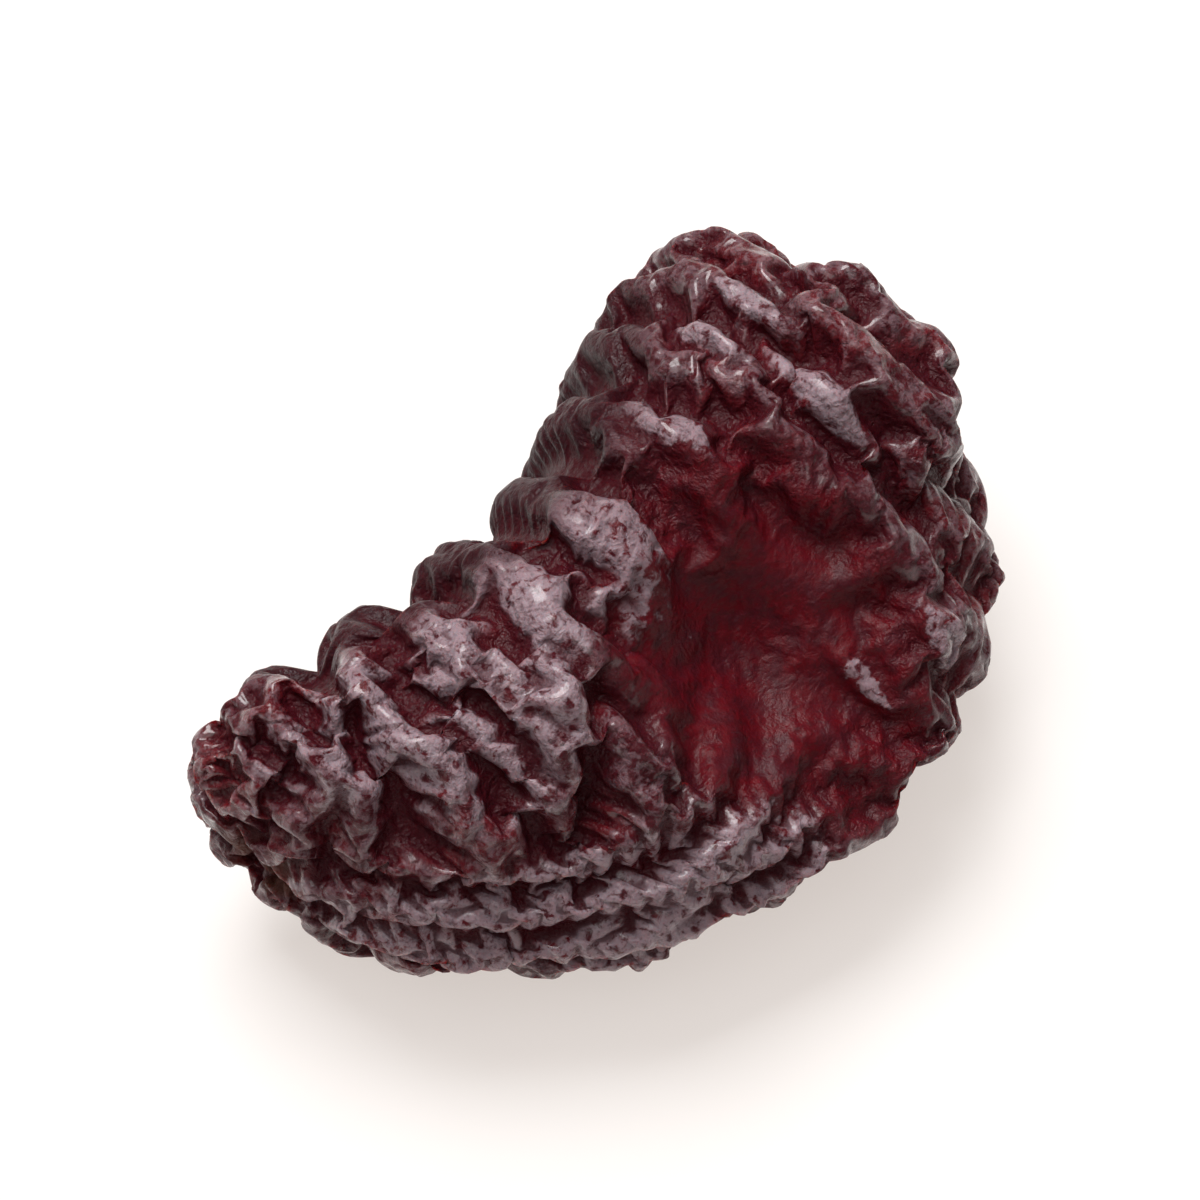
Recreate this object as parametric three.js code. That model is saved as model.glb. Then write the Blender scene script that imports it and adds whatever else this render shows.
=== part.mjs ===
// A dried cranberry: one whole berry, bowed to a half moon, with its skin shrivelled over the flesh.
// Millimetres. +X runs along the berry, +Y towards its straight flank, +Z up from the floor it lies on.
//
// The berry dries here much as a real one does. A smooth collapsed body is made first. Its skin then
// becomes too long for it, more in some places than in others, and a relaxation lets the skin buckle
// over the soft flesh into ribs and folds. The floor holds the underside flat, and the berry rests on it.
import * as THREE from "three";
import { mergeVertices } from "three/addons/utils/BufferGeometryUtils.js";

// Driving dimensions of the smooth body
const LENGTH = 14.5;
const SECTION_WIDTH = 8.0;
const HEIGHT = 7.4;
const BELLY_DEPTH = 3.0; // from the widest level down to the floor
const SUNK = 0.22; // how far the round underside would reach below the floor
const END_RISE = 0.2; // share by which the belly is shallower at both ends
const BARREL = 3.5; // 2 is an ellipsoid, more is a squarer barrel
const BOW = 2.8; // both ends lie this much nearer the straight flank than the middle does
const BOW_SKEW = 0.65; // and the -X end lies nearer it than the +X end does
const LEAN = 0.3; // the crest leans towards the straight flank
const KEEL_LEAN = 0.2; // and so does the underside, by this much for each mm down
const BLUNT = 0.2; // the +X end is wider than the -X end by this share
const SKIN_RADIUS = 4.1; // turns an angle round the berry into a length on its skin

// Skin mesh
const DETAIL = 22; // cuts of each edge of the icosahedron
const EVEN_PASSES = 400;

// Surplus skin, as a share of its length
const SURPLUS_ALONG = 0.235; // buckles into ribs across the berry
const SURPLUS_AROUND = 0.12; // buckles into folds along it
const SURPLUS_FOLDED = 0.26; // round the lower edge near the -X end, whose folds run along it
const SURPLUS_PUCKER = 0.23; // round both ends, whose pleats run in to the scars
const PATCHINESS = 0.33; // share by which the surplus varies from place to place
const CALM = 0.9; // share of the surplus that the smooth patches lack
const DRIFT = 0.6; // radians by which the ribs wander off square

// Relaxation, with the stiffness of an edge of the skin as 1
const BEND = 0.16;
const FLESH_PUSH = 0.022; // flesh against skin that sinks into it
const FLESH_PULL = 0.034; // flesh against skin that lifts off it
const FLESH_DRAG = 0.026; // flesh against skin that slides over it
const STEPS = 900;
const STEP_SIZE = 0.09;
const CARRY = 0.93;

// Hollows of the collapsed body
const DISH_DEPTH = 1.7; // a wide smooth hollow beside the crest
const GROOVE_DEPTH = 0.15; // behind the crest, along the straight flank
const SHOULDER = 0.6; // the +X end swells by this much beside its crest
const SLUMP = 0.18; // broad dents all over
const SLUMP_SIZE = 5;
const CALYX_DEPTH = 0.6; // pit of the blossom scar, at the +X end
const CALYX_RADIUS = 1.5;
const STEM_DEPTH = 0.35; // pit of the stem scar, at the -X end
const STEM_RADIUS = 0.9;

// The skin is too thick to bend sharply: a point stays this near its neighbours' mean
const SHARPEST = 0.07;
const EASE_PASSES = 12;

// Ribs that run over the crest: where along the berry, from and to which turn, slant and height
const RIBS = [
  { along: 5.2, from: -25, to: 10, slant: 0.2, height: 0.3 },
  { along: 4.0, from: -28, to: 40, slant: 0.6, height: 0.45 },
  { along: 1.9, from: -26, to: 12, slant: 0.3, height: 0.45 },
  { along: -0.5, from: -24, to: 18, slant: -0.6, height: 0.5 },
  { along: -3.5, from: -6, to: 34, slant: 0.5, height: 0.4 },
  { along: -5.2, from: 0, to: 42, slant: -0.2, height: 0.4 },
];
const RIB_WIDTH = 0.55;

const halfLength = LENGTH / 2;
const halfWidth = SECTION_WIDTH / 2;
const topHeight = HEIGHT - BELLY_DEPTH;
const bottomDepth = BELLY_DEPTH + SUNK;

const clamp01 = (t) => Math.min(1, Math.max(0, t));
const smooth = (from, to, t) => {
  const s = clamp01((t - from) / (to - from));
  return s * s * (3 - 2 * s);
};
const hump = (t) => (t * t < 1 ? (1 - t * t) ** 2 : 0);

// Seeded random numbers from 0 to 1
function randomSource(seed) {
  let state = seed;
  return () => {
    state = (Math.imul(state, 1664525) + 1013904223) >>> 0;
    return state / 4294967296;
  };
}

// Smooth noise from -1 to 1 over space, whose swells are about size apart
function swellField(seed, size, waves = 9) {
  const random = randomSource(seed);
  const parts = [];
  for (let k = 0; k < waves; k++) {
    const way = new THREE.Vector3(random() - 0.5, random() - 0.5, random() - 0.5).normalize();
    const pitch = (2 * Math.PI) / (size * (0.7 + 0.8 * random()));
    parts.push({ way: way.multiplyScalar(pitch), phase: 2 * Math.PI * random() });
  }
  return (p) => {
    let sum = 0;
    for (const { way, phase } of parts) sum += Math.sin(way.dot(p) + phase);
    return (sum * 1.6) / waves;
  };
}

// Barrel-shaped body before it is bowed, for a direction on the unit sphere
function barrelPoint(d, out) {
  const around = Math.hypot(d.y, d.z);
  const k = (Math.abs(d.x) ** BARREL + around ** BARREL) ** (-1 / BARREL);
  const depth = d.z > 0 ? topHeight : bottomDepth;
  return out.set(halfLength * d.x * k, halfWidth * d.y * k, depth * d.z * k);
}

// The collapsed body: the barrel bowed, leaning and blunter at one end
function bodyPoint(d, out) {
  barrelPoint(d, out);
  const along = out.x / halfLength;
  out.y *= 1 + BLUNT * along;
  out.y += BOW * (along * along - 0.5) - BOW_SKEW * along ** 3;
  out.y += out.z > 0 ? LEAN * out.z : -KEEL_LEAN * out.z;
  if (out.z < 0) out.z *= 1 - END_RISE * along * along;
  out.z += BELLY_DEPTH;
  return out;
}

// Closed skin mesh: directions, triangles, neighbours and edges
function skinMesh() {
  const ball = new THREE.IcosahedronGeometry(1, DETAIL);
  ball.deleteAttribute("normal");
  ball.deleteAttribute("uv");
  const merged = mergeVertices(ball, 1e-5);
  const positions = merged.attributes.position;
  const directions = [];
  for (let i = 0; i < positions.count; i++)
    directions.push(new THREE.Vector3().fromBufferAttribute(positions, i).normalize());
  const triangles = Array.from(merged.index.array);
  const around = directions.map(() => new Set());
  for (let t = 0; t < triangles.length; t += 3)
    for (let k = 0; k < 3; k++) {
      const from = triangles[t + k];
      const to = triangles[t + ((k + 1) % 3)];
      around[from].add(to);
      around[to].add(from);
    }
  const neighbours = around.map((set) => Array.from(set));
  const edges = [];
  neighbours.forEach((list, i) => list.forEach((j) => i < j && edges.push([i, j])));
  return { directions, triangles, neighbours, edges };
}

// Spreads the vertices evenly over the barrel
function spreadEvenly({ directions, triangles }) {
  const points = directions.map((d) => barrelPoint(d, new THREE.Vector3()));
  const sums = directions.map(() => new THREE.Vector3());
  const areas = new Float64Array(directions.length);
  const ab = new THREE.Vector3();
  const ac = new THREE.Vector3();
  const centre = new THREE.Vector3();
  for (let pass = 0; pass < EVEN_PASSES; pass++) {
    sums.forEach((s) => s.set(0, 0, 0));
    areas.fill(0);
    for (let t = 0; t < triangles.length; t += 3) {
      const corners = [triangles[t], triangles[t + 1], triangles[t + 2]];
      const [a, b, c] = corners.map((i) => points[i]);
      centre.copy(a).add(b).add(c).divideScalar(3);
      const area = ab.subVectors(b, a).cross(ac.subVectors(c, a)).length();
      for (const i of corners) {
        sums[i].addScaledVector(centre, area);
        areas[i] += area;
      }
    }
    directions.forEach((d, i) => {
      const depth = sums[i].z > 0 ? topHeight : bottomDepth;
      d.copy(sums[i]).divideScalar(areas[i]);
      d.set(d.x / halfLength, d.y / halfWidth, d.z / depth).normalize();
      barrelPoint(d, points[i]);
    });
  }
}

function vertexNormals(points, triangles) {
  const normals = points.map(() => new THREE.Vector3());
  const ab = new THREE.Vector3();
  const ac = new THREE.Vector3();
  for (let t = 0; t < triangles.length; t += 3) {
    const [a, b, c] = [triangles[t], triangles[t + 1], triangles[t + 2]];
    ab.subVectors(points[b], points[a]);
    ac.subVectors(points[c], points[a]);
    ab.cross(ac);
    for (const i of [a, b, c]) normals[i].add(ab);
  }
  normals.forEach((n) => n.normalize());
  return normals;
}

// Place on the skin: along the berry and off its axis in mm, and turn from the crest towards -Y in degrees
function placeOf(d) {
  const p = barrelPoint(d, new THREE.Vector3());
  const turn = THREE.MathUtils.radToDeg(Math.atan2(-d.y, d.z));
  return { along: p.x, off: Math.hypot(p.y, p.z), turn };
}

// Distance from the centre of a patch of the skin, 1 at its rim, by its centre and its two half sizes in mm
function patchDistance(place, along, turn, halfAlong, halfAround) {
  const around = THREE.MathUtils.degToRad(place.turn - turn) * SKIN_RADIUS;
  return Math.hypot((place.along - along) / halfAlong, around / halfAround);
}

// Share from 0 to 1 of a patch, even in its middle and soft at its rim
const patch = (place, ...spot) => 1 - smooth(0.5, 1.1, patchDistance(place, ...spot));

const DISH = [0.5, 40, 3.1, 3.1];
const dishShare = (place) => patch(place, ...DISH);
const dishBowl = (place) => 1 - smooth(0, 1.2, patchDistance(place, ...DISH));
const undersideShare = ({ along, turn }) => patch({ along, turn: Math.abs(turn) }, 0, 180, 5.4, 3.6);

// Share of the skin that keeps smooth: the dish, a facet at the +X end and the underside
function calmShare(place) {
  const facet = patch(place, 4.2, 58, 1.3, 1.3);
  return Math.max(dishShare(place), 0.7 * facet, undersideShare(place));
}

// Share of the skin whose folds run along the berry: its lower edge on the bowed side
function foldShare({ along, turn }) {
  return smooth(52, 66, turn) * (1 - smooth(95, 115, turn)) * (1 - smooth(-1, 1.5, along));
}

// Depth of the pit of the blossom or stem scar
function scarDepth({ along, off }) {
  return along > 0 ? CALYX_DEPTH * hump(off / CALYX_RADIUS) : STEM_DEPTH * hump(off / STEM_RADIUS);
}

// Depth by which the body has collapsed at a point
const slump = swellField(44, SLUMP_SIZE);
function hollowDepth(place, point) {
  const behind = smooth(-6.5, -4.5, place.along) * (1 - smooth(0.5, 3, place.along));
  const groove = GROOVE_DEPTH * behind * hump((place.turn + 36) / 16);
  const dish = dishShare(place);
  const broad = SLUMP * slump(point) * (1 - dish) * (1 - undersideShare(place));
  const shoulder = SHOULDER * patch(place, 6.4, 28, 2.2, 2.2);
  return DISH_DEPTH * dishBowl(place) + groove + broad + scarDepth(place) - shoulder;
}

// Lift of the skin into its main ribs before it relaxes
function ribLift(place) {
  let lift = 0;
  for (const rib of RIBS) {
    const share = (place.turn - rib.from) / (rib.to - rib.from);
    const spine = rib.along + rib.slant * (share - 0.5);
    const ends = smooth(-0.15, 0.15, share) * (1 - smooth(0.85, 1.15, share));
    lift += rib.height * ends * hump((place.along - spine) / RIB_WIDTH);
  }
  return lift;
}

// Rest lengths of the edges: the body's own, and the surplus for the way each edge runs
function restLengths(mesh, body, normals, places) {
  const patchy = swellField(62, 5.5);
  const drift = swellField(80, 7);
  const edge = new THREE.Vector3();
  const middle = new THREE.Vector3();
  const normal = new THREE.Vector3();
  const across = new THREE.Vector3();
  const alongWay = new THREE.Vector3();
  return mesh.edges.map(([i, j]) => {
    edge.subVectors(body[j], body[i]);
    middle.addVectors(body[i], body[j]).multiplyScalar(0.5);
    normal.addVectors(normals[i], normals[j]).normalize();
    across.crossVectors(normal, new THREE.Vector3(1, 0, 0));
    const steadiness = across.length();
    across.normalize();
    alongWay.crossVectors(across, normal);
    const endShare = 1 - smooth(0.35, 0.75, steadiness);
    const wander = DRIFT * drift(middle) * (1 - endShare);
    const heading = Math.atan2(edge.dot(across), edge.dot(alongWay)) - wander;
    const alongShare = Math.cos(heading) ** 2;
    const folded = (foldShare(places[i]) + foldShare(places[j])) / 2;
    const banded = THREE.MathUtils.lerp(
      SURPLUS_ALONG * alongShare + SURPLUS_AROUND * (1 - alongShare),
      SURPLUS_FOLDED * (1 - alongShare),
      folded,
    );
    const puckered = SURPLUS_PUCKER * (1 - alongShare);
    const surplus = THREE.MathUtils.lerp(banded, puckered, endShare);
    const calm = (calmShare(places[i]) + calmShare(places[j])) / 2;
    return edge.length() * (1 + surplus * (1 + PATCHINESS * patchy(middle)) * (1 - CALM * calm));
  });
}

// For each vertex, its neighbours' mean less itself
function laplacian(points, neighbours, out) {
  for (let i = 0; i < points.length; i++) {
    const o = out[i].set(0, 0, 0);
    for (const j of neighbours[i]) o.add(points[j]);
    o.divideScalar(neighbours[i].length).sub(points[i]);
  }
}

// Lets the skin buckle over the flesh until it comes to rest, with the floor below it
function shrivel(mesh, body, normals, places) {
  const { neighbours, edges } = mesh;
  const random = randomSource(16);
  const points = body.map((p, i) =>
    p.clone().addScaledVector(normals[i], ribLift(places[i]) + 0.08 * (random() - 0.5)),
  );
  const rest = restLengths(mesh, body, normals, places);
  const blank = () => body.map(() => new THREE.Vector3());
  const [speed, force, bodyBend, bend] = [blank(), blank(), blank(), blank()];
  const edge = new THREE.Vector3();
  const away = new THREE.Vector3();
  laplacian(body, neighbours, bodyBend);
  for (let step = 0; step < STEPS; step++) {
    force.forEach((f) => f.set(0, 0, 0));
    edges.forEach(([i, j], e) => {
      edge.subVectors(points[j], points[i]);
      const length = edge.length();
      edge.multiplyScalar((length - rest[e]) / length);
      force[i].add(edge);
      force[j].sub(edge);
    });
    laplacian(points, neighbours, bend);
    bend.forEach((b, i) => b.sub(bodyBend[i]));
    for (let i = 0; i < points.length; i++) {
      force[i].addScaledVector(bend[i], BEND);
      for (const j of neighbours[i]) force[i].addScaledVector(bend[j], -BEND / neighbours[j].length);
      away.subVectors(points[i], body[i]);
      const lift = away.dot(normals[i]);
      const flesh = lift > 0 ? FLESH_PULL : FLESH_PUSH;
      force[i].addScaledVector(away, -FLESH_DRAG);
      force[i].addScaledVector(normals[i], -lift * (flesh - FLESH_DRAG));
    }
    points.forEach((p, i) => {
      p.add(speed[i].multiplyScalar(CARRY).addScaledVector(force[i], STEP_SIZE));
      p.z = Math.max(0, p.z);
    });
  }
  return points;
}

// Eases the creases that are sharper than the skin's thickness allows
function easeCreases(points, neighbours) {
  const bend = points.map(() => new THREE.Vector3());
  for (let pass = 0; pass < EASE_PASSES; pass++) {
    laplacian(points, neighbours, bend);
    points.forEach((p, i) => {
      const excess = 1 - SHARPEST / bend[i].length();
      if (excess > 0 && p.z > 0) p.addScaledVector(bend[i], 0.7 * excess);
    });
  }
}

function berryGeometry() {
  const mesh = skinMesh();
  spreadEvenly(mesh);
  const places = mesh.directions.map(placeOf);
  const full = mesh.directions.map((d) => bodyPoint(d, new THREE.Vector3()));
  const outward = vertexNormals(full, mesh.triangles);
  const body = full.map((p, i) => p.clone().addScaledVector(outward[i], -hollowDepth(places[i], p)));
  const normals = vertexNormals(body, mesh.triangles);
  const points = shrivel(mesh, body, normals, places);
  easeCreases(points, mesh.neighbours);
  const geometry = new THREE.BufferGeometry().setFromPoints(points).setIndex(mesh.triangles);
  const centre = new THREE.Box3().setFromPoints(points).getCenter(new THREE.Vector3());
  geometry.translate(-centre.x, -centre.y, 0);
  geometry.computeVertexNormals();
  return geometry;
}

const skin = new THREE.MeshStandardMaterial({ color: 0x4c282c, roughness: 0.35, metalness: 0 });
const cranberry = new THREE.Mesh(berryGeometry(), skin);
cranberry.name = "cranberry";

const group = new THREE.Group();
group.add(cranberry);
export default group;
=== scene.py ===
"""A dried cranberry on a pale floor.

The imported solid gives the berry's form: its bow, dish, main ribs and folds. Its skin is divided finer
here, and shrivels twice more, first into the finer ribs between the main ones and then into a crinkle
too small for the solid. Lengths in the code are millimetres on the berry, and metres in the scene.
"""

import math
from types import SimpleNamespace

import bpy
import numpy as np
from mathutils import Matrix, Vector


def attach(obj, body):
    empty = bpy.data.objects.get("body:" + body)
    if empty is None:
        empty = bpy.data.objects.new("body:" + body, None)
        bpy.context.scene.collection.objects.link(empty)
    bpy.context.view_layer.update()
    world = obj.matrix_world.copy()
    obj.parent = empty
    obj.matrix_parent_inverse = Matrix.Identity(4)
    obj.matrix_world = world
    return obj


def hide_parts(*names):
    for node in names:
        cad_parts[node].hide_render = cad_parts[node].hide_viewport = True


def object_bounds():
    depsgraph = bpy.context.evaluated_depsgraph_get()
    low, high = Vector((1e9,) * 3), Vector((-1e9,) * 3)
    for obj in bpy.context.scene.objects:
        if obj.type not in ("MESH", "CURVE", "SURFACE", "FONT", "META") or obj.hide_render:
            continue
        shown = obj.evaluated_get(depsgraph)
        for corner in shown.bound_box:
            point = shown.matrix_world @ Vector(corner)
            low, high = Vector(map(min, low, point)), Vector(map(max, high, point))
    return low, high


MM = 0.001
TINY = 1e-9  # the least length that anything is divided by

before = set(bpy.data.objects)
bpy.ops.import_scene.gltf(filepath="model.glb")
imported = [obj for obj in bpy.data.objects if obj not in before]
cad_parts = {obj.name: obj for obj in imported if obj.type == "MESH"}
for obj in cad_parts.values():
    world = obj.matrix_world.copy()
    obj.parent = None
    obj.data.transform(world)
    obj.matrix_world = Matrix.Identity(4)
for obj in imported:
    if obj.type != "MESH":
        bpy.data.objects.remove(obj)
CAD_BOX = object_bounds()
MIDDLE = Vector((0, 0, CAD_BOX[1][2] / 2))  # of the berry

# The berry's axis and section, as in the solid
HALF_LENGTH = 7.25
HALF_WIDTH = 4.0
TOP_HEIGHT = 4.4  # from the widest level up
BELLY_DEPTH = 3.0  # from the widest level down to the floor
BOW = 2.8
BOW_SKEW = 0.65
LEAN = 0.3
KEEL_LEAN = 0.2
BLUNT = 0.2
AXIS_SHIFT = (0.32, 0.77)  # from the middle of the axis to the middle of the box
AXIS_REACH = 1.1  # half lengths from its middle, past which the axis bows no further
SKIN_RADIUS = 4.1

# Features by their place along the berry in mm and turn from the crest in degrees, and their half sizes
DISH = ((0.5, 40), (3.1, 3.1))
UNDERSIDE = ((0, 180), (5.4, 3.6))
LEFT_RIBS = ((-4.8, 15), (2.8, 3.0))
RIGHT_RIBS = ((4.6, -5), (2.2, 3.2))
# The crest and lower-edge patches place a painted sheen: on the crest where it faces the light, and on the
# lower edge as a painted reflection of the floor
CREST_SHEEN = ((-1.7, -3), (3.2, 1.6))
LOWER_EDGE_SHEEN = ((-4.2, 84), (4.4, 2.1))
RED = ((0.8, 40), (3.4, 4.2))  # the dish and the skin below it
SHADED_FLANK = ((-0.5, -55), (7.0, 3.7))  # the straight flank, painted nearly black as shade
# Ribs raised a little, on which a pale highlight is painted where the light would catch them
SHEEN_RIBS = [
    ((5.2, -3), (0.3, 1.0)),
    ((4.6, 19), (0.4, 1.4)),
    ((4.1, -11), (0.3, 1.1)),
    ((2.3, -9), (0.5, 1.2)),
    ((0.0, -8), (0.7, 1.2)),
    ((3.3, 70), (0.45, 0.8)),
    ((1.8, 66), (0.22, 0.7)),
    ((-3.0, 18), (0.5, 1.1)),
    ((-4.2, 28), (0.4, 0.8)),
    ((-5.2, 21), (0.5, 1.4)),
    ((-6.1, 20), (0.4, 0.9)),
]
SHEEN_RIB_HEIGHT = 0.12
FADE = (0.5, 1.1)  # half sizes from a feature's centre at which it starts to fade and is gone

# Turns over which the lengthwise folds of the lower edge come in, and over which they go
FOLDS_IN = (50, 65)
FOLDS_OUT = (105, 125)

# A scar at each end: where it comes in, in mm from the middle, and its rim, in shares of the radius
SCAR_IN = (3.5, 5.5)
CALYX_RIM = (0.15, 0.42)
STEM_RIM = (0.1, 0.3)

# Surplus of skin as a share of its length, along the berry and round it
LEAST_SURPLUS = (0.10, 0.04)
PATCHY_SURPLUS = (0.14, 0.06)
ENDS_SURPLUS = 0.10  # along the berry
FOLDS_SURPLUS = 0.12  # round it
CRINKLE_SURPLUS = (0.30, 0.13)

# How the skin shrivels. It resists bending. The flesh resists a push into it, a pull off it and a drag
# along it. The folds drift from straight by some radians, in swells of some mm. The grain is how uneven
# the skin is at the start, in mm.
RIBS = SimpleNamespace(
    bending=0.2, push=0.03, pull=0.045, drag=0.05, drift=0.7, swell=4, seed=41, grain=0.03, steps=400
)
CRINKLE = SimpleNamespace(
    bending=0.1, push=0.02, pull=0.02, drag=0.02, drift=1.2, swell=2, seed=43, grain=0.02, steps=240
)
KEPT_SPEED = 0.93  # from one step to the next
PACE = 0.09  # of a force, in each step

# Passes of smoothing against which relief is measured, and the height in mm that counts as one
CRINKLE_RELIEF = (10, 0.03)
RIB_RELIEF = (90, 0.15)
EASE = 0.6  # of the way to its neighbours' mean that a vertex goes in one pass

# Colours of the skin
CREASE_SHADE_AND_PORES = (0.042, 0.0036, 0.0064, 1)  # painted shade in the creases, and the dark pores of a fine speckle
MAROON = (0.056, 0.0055, 0.0095, 1)  # most of the skin
RUBY = (0.102, 0.0075, 0.0115, 1)  # where the skin is thin
CRIMSON = (0.088, 0.0028, 0.0062, 1)  # the dish
SHEEN_AND_BLOOM = (0.255, 0.176, 0.197, 1)  # pale film on the ribs, crest and lower edge: partly bloom, partly a painted sheen
FLANK_SHADE = (0.021, 0.0042, 0.0062, 1)  # painted shade on the straight flank
TAN = (0.100, 0.040, 0.026, 1)  # the scars
BUMP_DEPTH = 0.09

# Camera
AZIMUTH = -50
ELEVATION = 61
LENS = 250
FILL = 0.68  # share of the frame that the berry's larger side takes

# Floor, lights and sky. A way points from the berry, and sizes and distances are metres.
FLOOR_SIZE = 2
FLOOR_DROP = 0.00001
LIGHT_DISTANCE = 0.4
KEY = SimpleNamespace(name="key", way=(0.2, 0.45, 1.0), size=0.24, watts=2.1)
OVERHEAD = SimpleNamespace(name="overhead", way=(-0.3, -0.1, 1.0), size=0.3, watts=0.5)
SKY_WAY = (0.1, 0.3, 1.0)


def smooth(low, high, value):
    """0 up to low, 1 from high on, and an even curve between them."""
    t = np.clip((value - low) / (high - low), 0, 1)
    return t * t * (3 - 2 * t)


# Skin mesh

def node_mesh(name):
    """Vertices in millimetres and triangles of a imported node, with doubled vertices joined."""
    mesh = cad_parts[name].data
    loose = np.empty(len(mesh.vertices) * 3)
    mesh.vertices.foreach_get("co", loose)
    mesh.calc_loop_triangles()
    corners = np.empty(len(mesh.loop_triangles) * 3, dtype=np.int64)
    mesh.loop_triangles.foreach_get("vertices", corners)
    grid = np.round(loose.reshape(-1, 3) / MM, 4)
    points, joined = np.unique(grid, axis=0, return_inverse=True)
    return points, joined.reshape(-1)[corners].reshape(-1, 3)


def edges_of(faces):
    """Each edge once, and for each face side in turn the edge it lies on."""
    sides = np.concatenate([faces[:, [0, 1]], faces[:, [1, 2]], faces[:, [2, 0]]])
    edges, side_edge = np.unique(np.sort(sides, axis=1), axis=0, return_inverse=True)
    return edges, side_edge.reshape(-1)


def divide(points, faces):
    """One step of Loop subdivision: each triangle becomes four, and the surface is smoothed."""
    edges, side_edge = edges_of(faces)
    across = np.concatenate([faces[:, 2], faces[:, 0], faces[:, 1]])
    across_sum = np.zeros((len(edges), 3))
    np.add.at(across_sum, side_edge, points[across])
    middles = 0.375 * points[edges].sum(axis=1) + 0.125 * across_sum
    ring = np.zeros_like(points)
    np.add.at(ring, edges[:, 0], points[edges[:, 1]])
    np.add.at(ring, edges[:, 1], points[edges[:, 0]])
    count = np.bincount(edges.ravel(), minlength=len(points))
    share = np.where(count > 3, 0.375 / count, 0.1875)[:, None]
    kept = points * (1 - count[:, None] * share) + share * ring
    a, b, c = faces.T
    ab, bc, ca = len(points) + side_edge.reshape(3, -1)
    parts = [(a, ab, ca), (b, bc, ab), (c, ca, bc), (ab, bc, ca)]
    return np.concatenate([kept, middles]), np.concatenate([np.stack(p, axis=1) for p in parts])


class Skin:
    """The neighbours of each vertex, for sums round it."""

    def __init__(self, faces, count):
        edges, _ = edges_of(faces)
        both = np.concatenate([edges, edges[:, ::-1]])
        both = both[np.argsort(both[:, 0], kind="stable")]
        self.degree = np.bincount(both[:, 0], minlength=count)
        starts = np.concatenate([[0], np.cumsum(self.degree)[:-1]])
        slot = np.arange(len(both)) - starts[both[:, 0]]
        self.near = np.tile(np.arange(count)[:, None], (1, self.degree.max()))
        self.near[both[:, 0], slot] = both[:, 1]
        self.real = np.zeros(self.near.shape, dtype=bool)
        self.real[both[:, 0], slot] = True
        self.faces = faces

    def bend(self, values):
        """The mean of the neighbours less the vertex itself."""
        total = np.where(self.real[..., None], values[self.near], 0).sum(axis=1)
        return total / self.degree[:, None] - values

    def normals(self, points):
        corners = points[self.faces]
        face = np.cross(corners[:, 1] - corners[:, 0], corners[:, 2] - corners[:, 0])
        total = np.zeros_like(points)
        for k in range(3):
            np.add.at(total, self.faces[:, k], face)
        return total / np.linalg.norm(total, axis=1, keepdims=True)

    def eased(self, values, passes):
        for _ in range(passes):
            values = values + EASE * self.bend(values)
        return values


def swell_field(seed, size, waves=9):
    """Smooth noise from about -1 to 1 over space, whose swells are about size apart."""
    random = np.random.default_rng(seed)
    ways = random.normal(size=(waves, 3))
    ways /= np.linalg.norm(ways, axis=1, keepdims=True)
    ways *= 2 * math.pi / (size * random.uniform(0.7, 1.5, (waves, 1)))
    phases = random.uniform(0, 2 * math.pi, waves)
    return lambda points: np.sin(points @ ways.T + phases).sum(axis=1) * 1.6 / waves


# Places on the skin

def places(points):
    """Along the berry in mm, turn from the crest to -Y in degrees, and share of its radius off the axis."""
    along = points[:, 0] + AXIS_SHIFT[0]
    t = np.clip(along / HALF_LENGTH, -AXIS_REACH, AXIS_REACH)
    rise = points[:, 2] - BELLY_DEPTH
    axis = BOW * (t**2 - 0.5) - BOW_SKEW * t**3 + AXIS_SHIFT[1]
    sideways = points[:, 1] - axis - np.where(rise > 0, LEAN, -KEEL_LEAN) * rise
    across = sideways / (HALF_WIDTH * (1 + BLUNT * t))
    up = rise / np.where(rise > 0, TOP_HEIGHT, BELLY_DEPTH)
    return along, np.degrees(np.arctan2(-across, up)), np.hypot(across, up)


def patch(along, turn, centre, size):
    """Share from 0 to 1 of a round patch, by its centre and its two half sizes in mm."""
    around = np.radians(turn - centre[1]) * SKIN_RADIUS
    return 1 - smooth(*FADE, np.hypot((along - centre[0]) / size[0], around / size[1]))


def sheen_ribs(along, turn):
    """Share of the ribs that catch the light at each place, where a pale highlight is painted."""
    return np.max([patch(along, turn, *rib) for rib in SHEEN_RIBS], axis=0)


def looseness(points, seed, size, mean, swing):
    """How loose the skin is at each place, in patches of about that size."""
    return np.clip(mean + swing * swell_field(seed, size)(points), 0.05, 1.3)


def rib_surplus(points):
    """Surplus skin for the finer ribs: across the berry nearly everywhere, along it at the lower edge."""
    along, turn, _ = places(points)
    under = patch(along, np.abs(turn), *UNDERSIDE)
    calm = np.maximum(0.8 * patch(along, turn, *DISH), under)
    ends = np.maximum(patch(along, turn, *LEFT_RIBS), patch(along, turn, *RIGHT_RIBS))
    folds = smooth(*FOLDS_IN, turn) * (1 - smooth(*FOLDS_OUT, turn))
    patchy = looseness(points, seed=31, size=3.5, mean=0.55, swing=0.6)
    lengthwise = (LEAST_SURPLUS[0] + PATCHY_SURPLUS[0] * patchy) * (1 - folds) + ENDS_SURPLUS * ends
    around = LEAST_SURPLUS[1] + PATCHY_SURPLUS[1] * patchy + FOLDS_SURPLUS * folds
    return np.stack([lengthwise, around], axis=1) * (1 - calm)[:, None]


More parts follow.
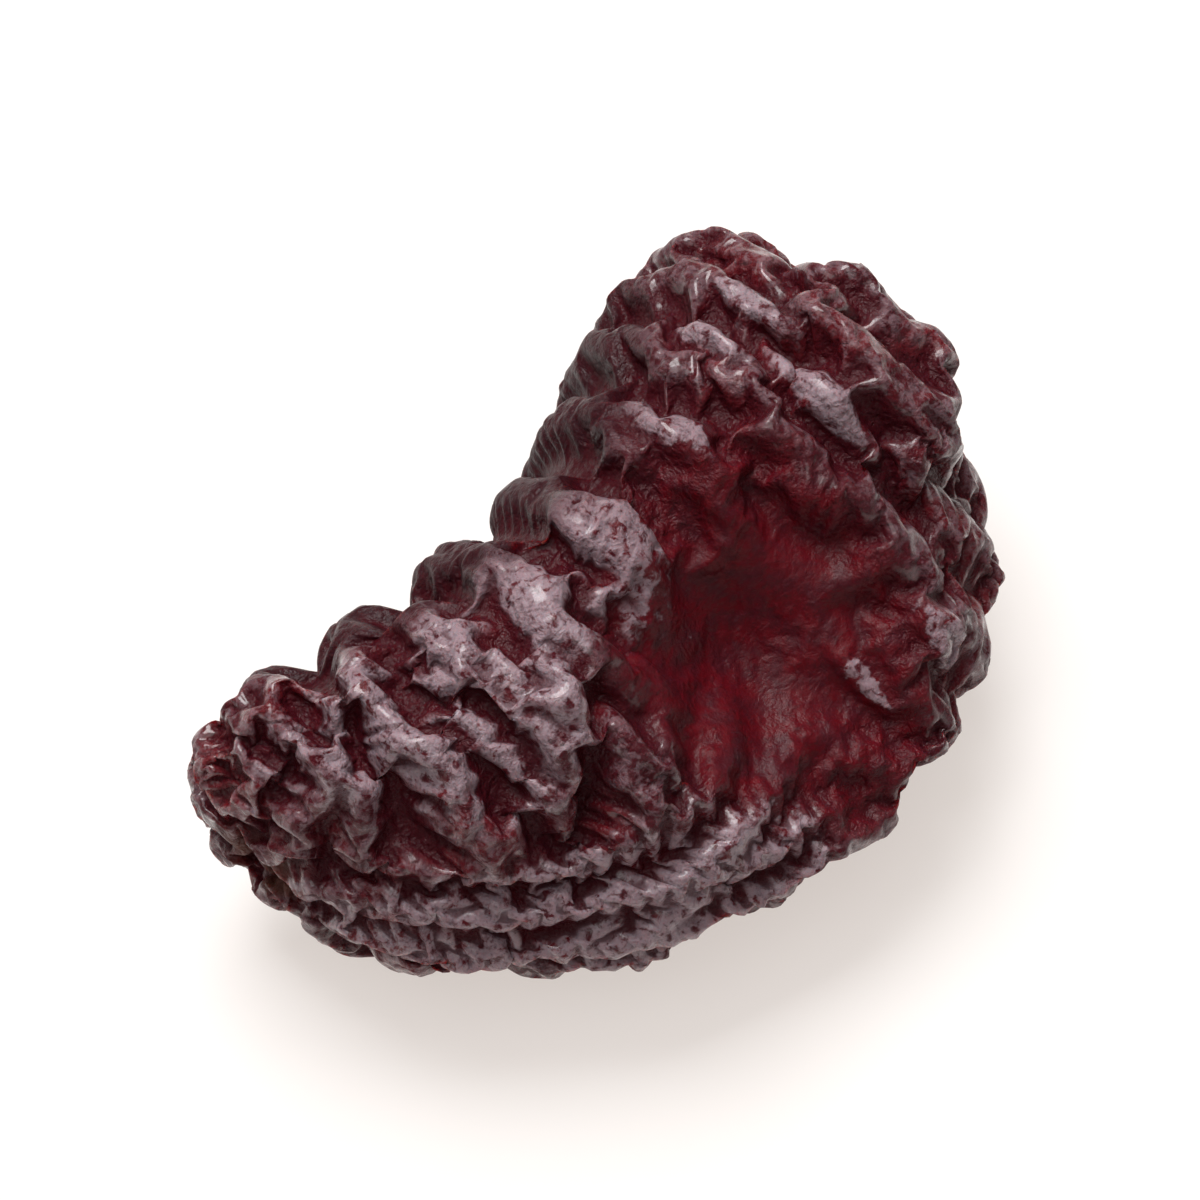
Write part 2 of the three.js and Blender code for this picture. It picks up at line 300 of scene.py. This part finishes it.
def crinkle_surplus(points):
    """Surplus skin for the finest crinkle, with less of it in the dish, below it and on the flank."""
    along, turn, _ = places(points)
    under = patch(along, np.abs(turn), *UNDERSIDE)
    patchy = looseness(points, seed=37, size=1.8, mean=0.65, swing=0.7) * (1 - under)
    dish, red, flank = (patch(along, turn, *feature) for feature in (DISH, RED, SHADED_FLANK))
    calm = np.max([0.88 * dish, 0.5 * red, 0.45 * flank], axis=0)
    return np.outer(patchy * (1 - calm), CRINKLE_SURPLUS)


# Shrivelling

def wanted_lengths(skin, points, surplus, settings):
    """How long each vertex's edges would be if the surplus of skin lay flat."""
    near = skin.near
    normals = skin.normals(points)
    across = np.cross(normals, [1.0, 0.0, 0.0])
    across /= np.maximum(np.linalg.norm(across, axis=1, keepdims=True), TINY)
    along_way = np.cross(across, normals)
    wander = settings.drift * swell_field(settings.seed, settings.swell)(points)
    mean_wander = (wander[:, None] + wander[near]) / 2
    sides = points[near] - points[:, None]
    length = np.maximum(np.linalg.norm(sides, axis=2), TINY)
    heading = np.arctan2((sides * across[:, None]).sum(axis=2), (sides * along_way[:, None]).sum(axis=2))
    share = np.cos(heading - mean_wander) ** 2
    mean_surplus = (surplus[:, None] + surplus[near]) / 2
    return length * (1 + mean_surplus[..., 0] * share + mean_surplus[..., 1] * (1 - share))


def shrivel(skin, points, surplus, settings):
    """Lets the skin, longer than the flesh's surface by surplus, buckle over that surface.

    surplus has one value for each vertex and each of two ways: along the berry and round it.
    """
    near, real = skin.near, skin.real
    wanted = wanted_lengths(skin, points, surplus, settings)
    normals = skin.normals(points)
    body_bend = skin.bend(points)
    random = np.random.default_rng(settings.seed)
    moved = points + normals * random.normal(0, settings.grain, len(points))[:, None]
    speed = np.zeros_like(points)
    for _ in range(settings.steps):
        sides = moved[near] - moved[:, None]
        length = np.maximum(np.linalg.norm(sides, axis=2), TINY)
        tug = np.where(real, (length - wanted) / length, 0)
        force = (sides * tug[..., None]).sum(axis=1)
        bend = skin.bend(moved) - body_bend
        spread = bend / skin.degree[:, None]
        force += settings.bending * (bend - np.where(real[..., None], spread[near], 0).sum(axis=1))
        away = moved - points
        lift = (away * normals).sum(axis=1)
        flesh = np.where(lift > 0, settings.pull, settings.push) - settings.drag
        force -= settings.drag * away + (lift * flesh)[:, None] * normals
        speed = KEPT_SPEED * speed + PACE * force
        moved = moved + speed
        moved[:, 2] = np.maximum(moved[:, 2], 0)
    return moved


def fine_skin():
    """The solid's skin, divided and shrivelled twice, with the ribs that carry a painted highlight raised
    before the first time.
    """
    points, faces = divide(*node_mesh("cranberry"))
    skin = Skin(faces, len(points))
    along, turn, _ = places(points)
    points = points + skin.normals(points) * (SHEEN_RIB_HEIGHT * sheen_ribs(along, turn))[:, None]
    points = shrivel(skin, points, rib_surplus(points), RIBS)
    points, faces = divide(points, faces)
    skin = Skin(faces, len(points))
    return shrivel(skin, points, crinkle_surplus(points), CRINKLE), skin


# What the mesh carries for the material

def relief(skin, points, passes, height):
    """How far each vertex stands out of the skin smoothed by that many passes, in heights."""
    normals = skin.normals(points)
    return ((points - skin.eased(points, passes)) * normals).sum(axis=1) / height


def sheen_and_bloom_share(along, turn):
    """Share of the pale film at each place: bloom, and a painted sheen on the crest and ribs and a painted
    reflection of the floor on the lower edge.
    """
    crest = patch(along, turn, *CREST_SHEEN)
    lower = patch(along, turn, *LOWER_EDGE_SHEEN)
    left = patch(along, turn, *LEFT_RIBS)
    return np.max([crest, lower, 0.7 * left, 0.9 * sheen_ribs(along, turn)], axis=0)


def skin_shares(points, skin):
    """The values that the mesh carries at each vertex, by name."""
    along, turn, off = places(points)
    calyx = smooth(*SCAR_IN, along) * (1 - smooth(*CALYX_RIM, off))
    stem = smooth(*SCAR_IN, -along) * (1 - smooth(*STEM_RIM, off))
    return {
        "crinkle": relief(skin, points, *CRINKLE_RELIEF),
        "rib": relief(skin, points, *RIB_RELIEF),
        "dish": patch(along, turn, *DISH),
        "red": patch(along, turn, *RED),
        "film": sheen_and_bloom_share(along, turn),
        "flank": patch(along, turn, *SHADED_FLANK),
        "scar": np.maximum(calyx, stem),
    }


def berry_object():
    points, skin = fine_skin()
    mesh = bpy.data.meshes.new("berry_skin")
    mesh.from_pydata((points * MM).tolist(), [], skin.faces.tolist())
    mesh.polygons.foreach_set("use_smooth", np.ones(len(skin.faces), dtype=bool))
    for name, values in skin_shares(points, skin).items():
        mesh.attributes.new(name, "FLOAT", "POINT").data.foreach_set("value", values.astype(np.float32))
    mesh.validate()
    berry = bpy.data.objects.new("berry_skin", mesh)
    bpy.context.scene.collection.objects.link(berry)
    return berry


# Materials

class Graph:
    """A material's nodes, added and joined by short calls. A value is a number, a colour or a socket."""

    def __init__(self, name):
        self.material = bpy.data.materials.new(name)
        self.material.use_nodes = True
        self.tree = self.material.node_tree

    def feed(self, socket, value):
        if isinstance(value, bpy.types.NodeSocket):
            self.tree.links.new(value, socket)
        else:
            socket.default_value = value

    def add(self, kind, inputs, **settings):
        node = self.tree.nodes.new(kind)
        for name, value in settings.items():
            setattr(node, name, value)
        for key, value in inputs.items():
            self.feed(node.inputs[key], value)
        return node

    def surface(self, values):
        """Feeds the material's shader, by the names of its inputs."""
        shader = self.tree.nodes["Principled BSDF"]
        for name, value in values.items():
            self.feed(shader.inputs[name], value)

    def attribute(self, name):
        return self.add("ShaderNodeAttribute", {}, attribute_name=name).outputs["Fac"]

    def noise(self, where, per_mm, detail=3, warp=0):
        inputs = {
            "Vector": where, "Scale": per_mm, "Detail": detail, "Roughness": 0.55, "Distortion": warp,
        }
        return self.add("ShaderNodeTexNoise", inputs).outputs["Fac"]

    def math(self, operation, a, b):
        return self.add("ShaderNodeMath", {0: a, 1: b}, operation=operation).outputs[0]

    def plus(self, a, b):
        return self.math("ADD", a, b)

    def times(self, a, b):
        return self.math("MULTIPLY", a, b)

    def larger(self, a, b):
        return self.math("MAXIMUM", a, b)

    def ramp(self, value, start, end, low=0.0, high=1.0):
        inputs = {"Value": value, "From Min": start, "From Max": end, "To Min": low, "To Max": high}
        return self.add("ShaderNodeMapRange", inputs, interpolation_type="SMOOTHSTEP").outputs["Result"]

    def mix(self, share, a, b):
        inputs = {0: share, 6: a, 7: b}
        return self.add("ShaderNodeMix", inputs, data_type="RGBA").outputs[2]

    def blend(self, share, a, b):
        return self.add("ShaderNodeMix", {0: share, 2: a, 3: b}, data_type="FLOAT").outputs[0]


def skin_inputs(g):
    """What the mesh carries, and noises over the skin from coarse to fine, by their swells in a mm."""
    place = g.add("ShaderNodeTexCoord", {}).outputs["Object"]
    mm = g.add("ShaderNodeVectorMath", {0: place, "Scale": 1 / MM}, operation="SCALE").outputs[0]
    carried = ("crinkle", "rib", "scar", "dish", "red", "film", "flank")
    at = SimpleNamespace(**{name: g.attribute(name) for name in carried})
    at.blotch = g.noise(mm, 0.75, warp=0.4)
    at.mottle = g.noise(mm, 2.8, detail=4)
    at.wrinkle = g.noise(mm, 4.5, detail=4, warp=0.6)
    at.speckle = g.noise(mm, 5, detail=4, warp=0.5)
    at.grain = g.noise(mm, 9, detail=2)
    return at


def film_cover(g, at):
    """How much the pale film of bloom and painted sheen covers: raised skin up to torn borders, and little
    of the red and flank.
    """
    torn = g.times(g.plus(at.mottle, -0.5), 2.2)
    filmy = g.ramp(g.plus(at.film, torn), 0.2, 0.85)
    raised = g.ramp(g.plus(at.rib, g.times(filmy, 0.75)), -0.2, 0.9)
    speckled = g.ramp(g.plus(at.speckle, g.times(filmy, 0.08)), 0.42, 0.57)
    cover = g.times(g.times(raised, speckled), g.ramp(filmy, 0.0, 1.0, low=0.35))
    bare = g.times(g.ramp(at.red, 0.0, 0.6), g.ramp(filmy, 0.2, 0.9, low=1.0, high=0.25))
    return g.times(cover, g.ramp(g.larger(bare, at.flank), 0.0, 1.0, low=1.0, high=0.06))


def add_regions(g, at):
    """Adds the creases, the pale film of bloom and painted sheen, and the dish and the flank's painted
    shade with ragged borders.
    """
    ragged = g.times(g.plus(at.blotch, -0.5), 0.9)
    at.in_dish = g.ramp(g.plus(at.red, ragged), 0.25, 0.75)
    # Painted shade on the flank, with ragged borders
    at.in_flank = g.ramp(g.plus(at.flank, ragged), 0.2, 0.8, high=0.85)
    at.creased = g.larger(g.ramp(at.crinkle, -0.1, -1.1), g.ramp(at.rib, -0.1, -1.3))
    at.cover = film_cover(g, at)


def skin_colour(g, at):
    ruby = g.ramp(g.plus(at.blotch, g.times(at.mottle, 0.5)), 0.68, 0.92)
    crimson = g.mix(g.ramp(at.mottle, 0.35, 0.68), CRIMSON, MAROON)
    colour = g.mix(at.in_dish, g.mix(ruby, MAROON, RUBY), crimson)
    # Painted shade: the straight flank darkened nearly to black
    colour = g.mix(at.in_flank, colour, FLANK_SHADE)
    # Painted sheen and bloom: the pale film over the raised skin
    colour = g.mix(at.cover, colour, SHEEN_AND_BLOOM)
    # Painted shade: the creases darkened, less under the film and in the dish, with dark pores from a fine
    # noise added
    shade_and_pores = g.times(at.creased, g.ramp(at.cover, 0.0, 1.0, low=0.8, high=0.65))
    shade_and_pores = g.times(shade_and_pores, g.ramp(at.in_dish, 0.0, 1.0, low=1.0, high=0.3))
    shade_and_pores = g.larger(shade_and_pores, g.ramp(at.grain, 0.52, 0.70, high=0.55))
    colour = g.mix(shade_and_pores, colour, CREASE_SHADE_AND_PORES)
    scarred = g.times(at.scar, g.ramp(at.mottle, 0.3, 0.6, low=0.4))
    return g.mix(scarred, colour, TAN)


def skin_roughness(g, at):
    polish = g.ramp(at.blotch, 0.35, 0.65, low=0.36, high=0.27)
    rough = g.larger(at.scar, g.larger(g.times(at.in_dish, 0.3), g.times(at.cover, 0.4)))
    uneven = g.ramp(at.grain, 0.3, 0.7, low=-0.04, high=0.05)
    return g.plus(g.blend(rough, polish, 0.5), uneven)


def skin_syrup(g, at):
    """A patchy clear coat, which leaves out the creases, the scars, the dish and the flank."""
    dull = g.larger(g.times(at.in_dish, 0.7), g.larger(at.scar, at.creased))
    dull = g.larger(dull, g.larger(at.in_flank, g.times(at.cover, 0.2)))
    return g.times(g.ramp(at.mottle, 0.4, 0.6), g.ramp(dull, 0.0, 0.6, low=1.0, high=0.0))


def skin_bump(g, at):
    """The unevenness too fine for the mesh, with less of it in the dish and on the flank."""
    calm = g.larger(at.dish, g.times(at.flank, 0.5))
    fine = g.plus(at.wrinkle, g.times(at.grain, 0.6))
    height = g.times(fine, g.ramp(calm, 0.0, 0.8, low=1.0, high=0.4))
    inputs = {"Strength": 1.0, "Distance": BUMP_DEPTH * MM, "Height": height}
    return g.add("ShaderNodeBump", inputs).outputs["Normal"]


def skin_material():
    g = Graph("berry_skin")
    at = skin_inputs(g)
    add_regions(g, at)
    g.surface({
        "Base Color": skin_colour(g, at),
        "Roughness": skin_roughness(g, at),
        "IOR": 1.46,
        "Specular IOR Level": 0.15,
        "Subsurface Weight": 0.2,
        "Subsurface Radius": (1.0, 0.15, 0.1),
        "Subsurface Scale": 0.5 * MM,
        "Coat Weight": skin_syrup(g, at),
        "Coat Roughness": 0.13,
        "Coat IOR": 1.45,
        "Normal": skin_bump(g, at),
    })
    return g.material


def floor_material():
    g = Graph("pale_floor")
    g.surface({
        "Base Color": (0.35, 0.35, 0.35, 1),
        "Roughness": 0.7,
        "Specular IOR Level": 0.2,
        "Emission Color": (1, 0.91, 0.85, 1),
        "Emission Strength": 0.6,
    })
    return g.material


# Floor, light and camera

def add_floor():
    """A floor just under the berry, so that the two don't share a plane."""
    bpy.ops.mesh.primitive_plane_add(size=FLOOR_SIZE, location=(0, 0, -FLOOR_DROP))
    floor = bpy.context.object
    floor.name = "floor"
    floor.data.materials.append(floor_material())


def add_light(settings):
    """A square soft light that faces the berry."""
    data = bpy.data.lights.new(settings.name, "AREA")
    data.size = settings.size
    data.energy = settings.watts
    light = bpy.data.objects.new(settings.name, data)
    bpy.context.scene.collection.objects.link(light)
    light.location = MIDDLE + Vector(settings.way).normalized() * LIGHT_DISTANCE
    light.rotation_euler = (MIDDLE - light.location).to_track_quat("-Z", "Y").to_euler()


def add_world():
    """A white room, light overhead and dim round its walls."""
    world = bpy.data.worlds.new("studio")
    world.use_nodes = True
    tree = world.node_tree
    way = tree.nodes.new("ShaderNodeTexCoord").outputs["Generated"]
    side = tree.nodes.new("ShaderNodeVectorMath")
    side.operation = "DOT_PRODUCT"
    side.inputs[1].default_value = Vector(SKY_WAY).normalized()
    dimming = tree.nodes.new("ShaderNodeMapRange")
    for name, value in {"From Min": 0.1, "From Max": 1.0, "To Min": 0.03, "To Max": 0.4}.items():
        dimming.inputs[name].default_value = value
    tree.links.new(way, side.inputs[0])
    tree.links.new(side.outputs["Value"], dimming.inputs["Value"])
    tree.links.new(dimming.outputs["Result"], tree.nodes["Background"].inputs["Strength"])
    tree.nodes["Background"].inputs["Color"].default_value = (1, 1, 1, 1)
    bpy.context.scene.world = world


def add_camera(points):
    """A long lens at the photograph's angle, with the berry in the middle of a square frame."""
    azimuth, elevation = math.radians(AZIMUTH), math.radians(ELEVATION)
    level, height = math.cos(elevation), math.sin(elevation)
    back = Vector((math.sin(azimuth) * level, -math.cos(azimuth) * level, height))
    right = Vector((math.cos(azimuth), math.sin(azimuth), 0))
    ways = (right, back.cross(right), back)
    spans = [points @ np.array(way) for way in ways]
    middle = Vector()
    for way, span in zip(ways, spans):
        middle += way * float(span.min() + span.max()) / 2
    size = max(float(np.ptp(span)) for span in spans[:2]) / FILL
    data = bpy.data.cameras.new("camera")
    data.lens = LENS
    data.clip_start = MM
    camera = bpy.data.objects.new("camera", data)
    camera.location = middle + back * size * LENS / data.sensor_width
    camera.rotation_euler = back.to_track_quat("Z", "Y").to_euler()
    bpy.context.scene.collection.objects.link(camera)
    bpy.context.scene.camera = camera


def main():
    berry = berry_object()
    berry.data.materials.append(skin_material())
    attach(berry, "root")
    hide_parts("cranberry")
    add_floor()
    add_light(KEY)
    add_light(OVERHEAD)
    add_world()
    add_camera(np.array([v.co for v in berry.data.vertices]))
    bpy.context.scene.view_settings.view_transform = "Standard"


main()
